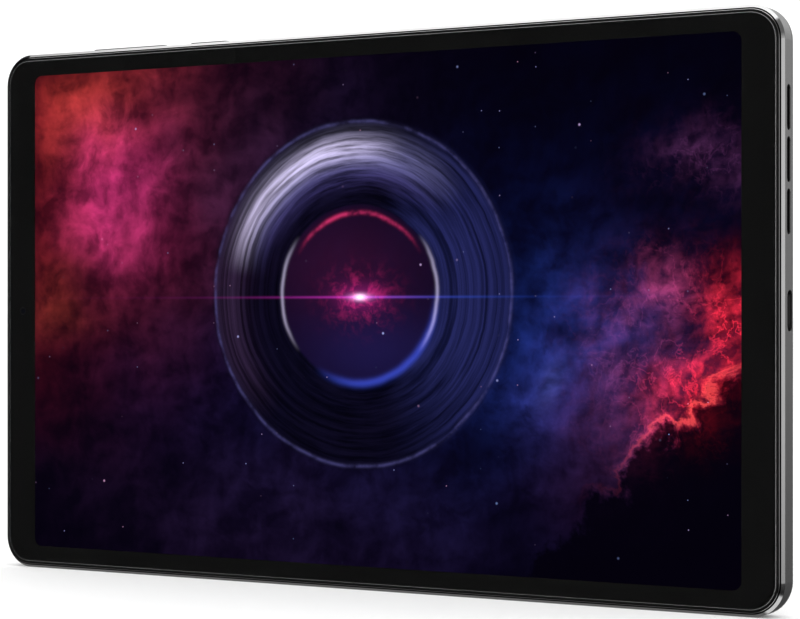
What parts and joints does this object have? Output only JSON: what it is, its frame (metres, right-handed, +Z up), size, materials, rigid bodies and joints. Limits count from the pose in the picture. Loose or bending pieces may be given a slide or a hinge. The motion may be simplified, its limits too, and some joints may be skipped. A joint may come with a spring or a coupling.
{
  "type": "tablet computer",
  "caption": "Slim slate tablet computer with a metal body, lit touch screen, side speakers, sprung keys, a charging socket and cameras.",
  "frame": {"origin": "bottom centre of the whole object's box: on the lower long edge that it stands on, midway along the length and midway between the front glass and the rear camera ring", "axes": "+X along the long side, to the right of someone facing the screen; +Y from the screen to the rear; +Z up along the short side, towards the edge with the keys"},
  "size_m": [0.2084, 0.0088, 0.13],
  "materials": {
    "frame_metal": "anodised dark grey, fine bead-blasted satin",
    "cover_metal": "anodised dark grey, fine bead-blasted satin",
    "ring_metal": "anodised dark grey, turned",
    "key_metal": "anodised dark grey, satin",
    "plate_metal": "plain pressed sheet",
    "window_plastic": "black backed, polished",
    "front_glass": "clear, polished",
    "border_print": "black print seen through the glass",
    "lit_screen": "showing a coloured night-sky picture",
    "backlight": "white",
    "gasket_rubber": "matt black",
    "pad_rubber": "soft grey-blue",
    "adhesive": "black foam tape",
    "flex": "amber film over copper",
    "black_plastic": "fine moulded black",
    "connector_plastic": "moulded black",
    "diffuser_plastic": "milky, finely ribbed",
    "led_package": "yellow phosphor",
    "lens_glass": "dark coated lens",
    "lens_cover_glass": "clear, black at its rim",
    "screw_steel": "plated",
    "dome_steel": "bright spring steel",
    "module_metal": "drawn steel",
    "shield_metal": "nickel-plated tin",
    "magnet": "nickel-plated",
    "diaphragm": "thin film",
    "mesh_fabric": "fine black weave",
    "contact_gold": "gold-plated",
    "circuit_board": "dark green solder mask",
    "chip": "black moulding",
    "graphite": "grey graphite film",
    "cell_foil": "black-printed foil pouch"
  },
  "bodies": {
    "tablet": {"side_frame": "frame_metal", "rear_cover": "cover_metal", "rear_window": "window_plastic", "cover_adhesive": "adhesive", "cover_glass": "front_glass", "border_mask": "border_print", "glass_gasket": "gasket_rubber", "display_adhesive": "adhesive", "display_panel": "lit_screen", "backlight_unit": "backlight", "display_flex": "flex", "mid_plate": "plate_metal", "chassis_screws": "screw_steel", "front_camera_housing": "black_plastic", "front_camera_lens": "lens_glass", "rear_camera_ring": "ring_metal", "rear_camera_lens_cover": "lens_cover_glass", "rear_camera_housing": "module_metal", "camera_flexes": "flex", "flash_lens": "diffuser_plastic", "flash_led": "led_package", "button_bracket": "module_metal", "button_flex": "flex", "switch_domes": "dome_steel", "button_screws": "screw_steel", "usb_shell": "module_metal", "usb_tongue": "black_plastic", "usb_contacts": "contact_gold", "usb_seal": "gasket_rubber", "sub_board": "circuit_board", "sub_board_flex": "flex", "left_speaker_box": "black_plastic", "right_speaker_box": "black_plastic", "speaker_magnets": "magnet", "speaker_meshes": "mesh_fabric", "main_board": "circuit_board", "processor": "chip", "board_chips": "chip", "main_shield": "shield_metal", "radio_shield": "shield_metal", "thermal_pad": "pad_rubber", "heat_spreader": "graphite", "board_connectors": "connector_plastic", "board_screws": "screw_steel", "left_cell": "cell_foil", "right_cell": "cell_foil", "cell_board": "flex", "cell_adhesive": "adhesive", "vibration_motor_case": "module_metal", "vibration_motor_shaft": "dome_steel", "antenna_carrier": "black_plastic", "antenna_foils": "contact_gold", "microphones": "module_metal"},
    "volume_rocker": {"volume_rocker": "key_metal"},
    "power_button": {"power_button": "key_metal"},
    "focus_barrel": {"rear_camera_barrel": "black_plastic", "rear_camera_element": "lens_glass"},
    "left_diaphragm": {"left_speaker_diaphragm": "diaphragm"},
    "right_diaphragm": {"right_speaker_diaphragm": "diaphragm"},
    "motor_mass": {"vibration_motor_mass": "magnet"}
  },
  "joints": [
    {"name": "volume_rock", "type": "hinge", "parent": "tablet", "child": "volume_rocker", "pos_m": [-0.0671, -0.00085, 0.1271], "axis": [0, 1, 0], "range_deg": [-1.25, 1.25], "stiffness_Nm_per_rad": 0.6},
    {"name": "power_press", "type": "slide", "parent": "tablet", "child": "power_button", "axis": [0, 0, -1], "range_m": [0, 0.0003], "stiffness_N_per_m": 5000},
    {"name": "camera_focus", "type": "slide", "parent": "tablet", "child": "focus_barrel", "axis": [0, 1, 0], "range_m": [0, 0.00025], "stiffness_N_per_m": 200},
    {"name": "left_diaphragm_stroke", "type": "slide", "parent": "tablet", "child": "left_diaphragm", "axis": [0, 1, 0], "range_m": [-0.0002, 0.0002], "stiffness_N_per_m": 500},
    {"name": "right_diaphragm_stroke", "type": "slide", "parent": "tablet", "child": "right_diaphragm", "axis": [0, 1, 0], "range_m": [-0.0002, 0.0002], "stiffness_N_per_m": 500},
    {"name": "motor_shuttle", "type": "slide", "parent": "tablet", "child": "motor_mass", "axis": [1, 0, 0], "range_m": [-0.0005, 0.0005], "stiffness_N_per_m": 1200}
  ]
}
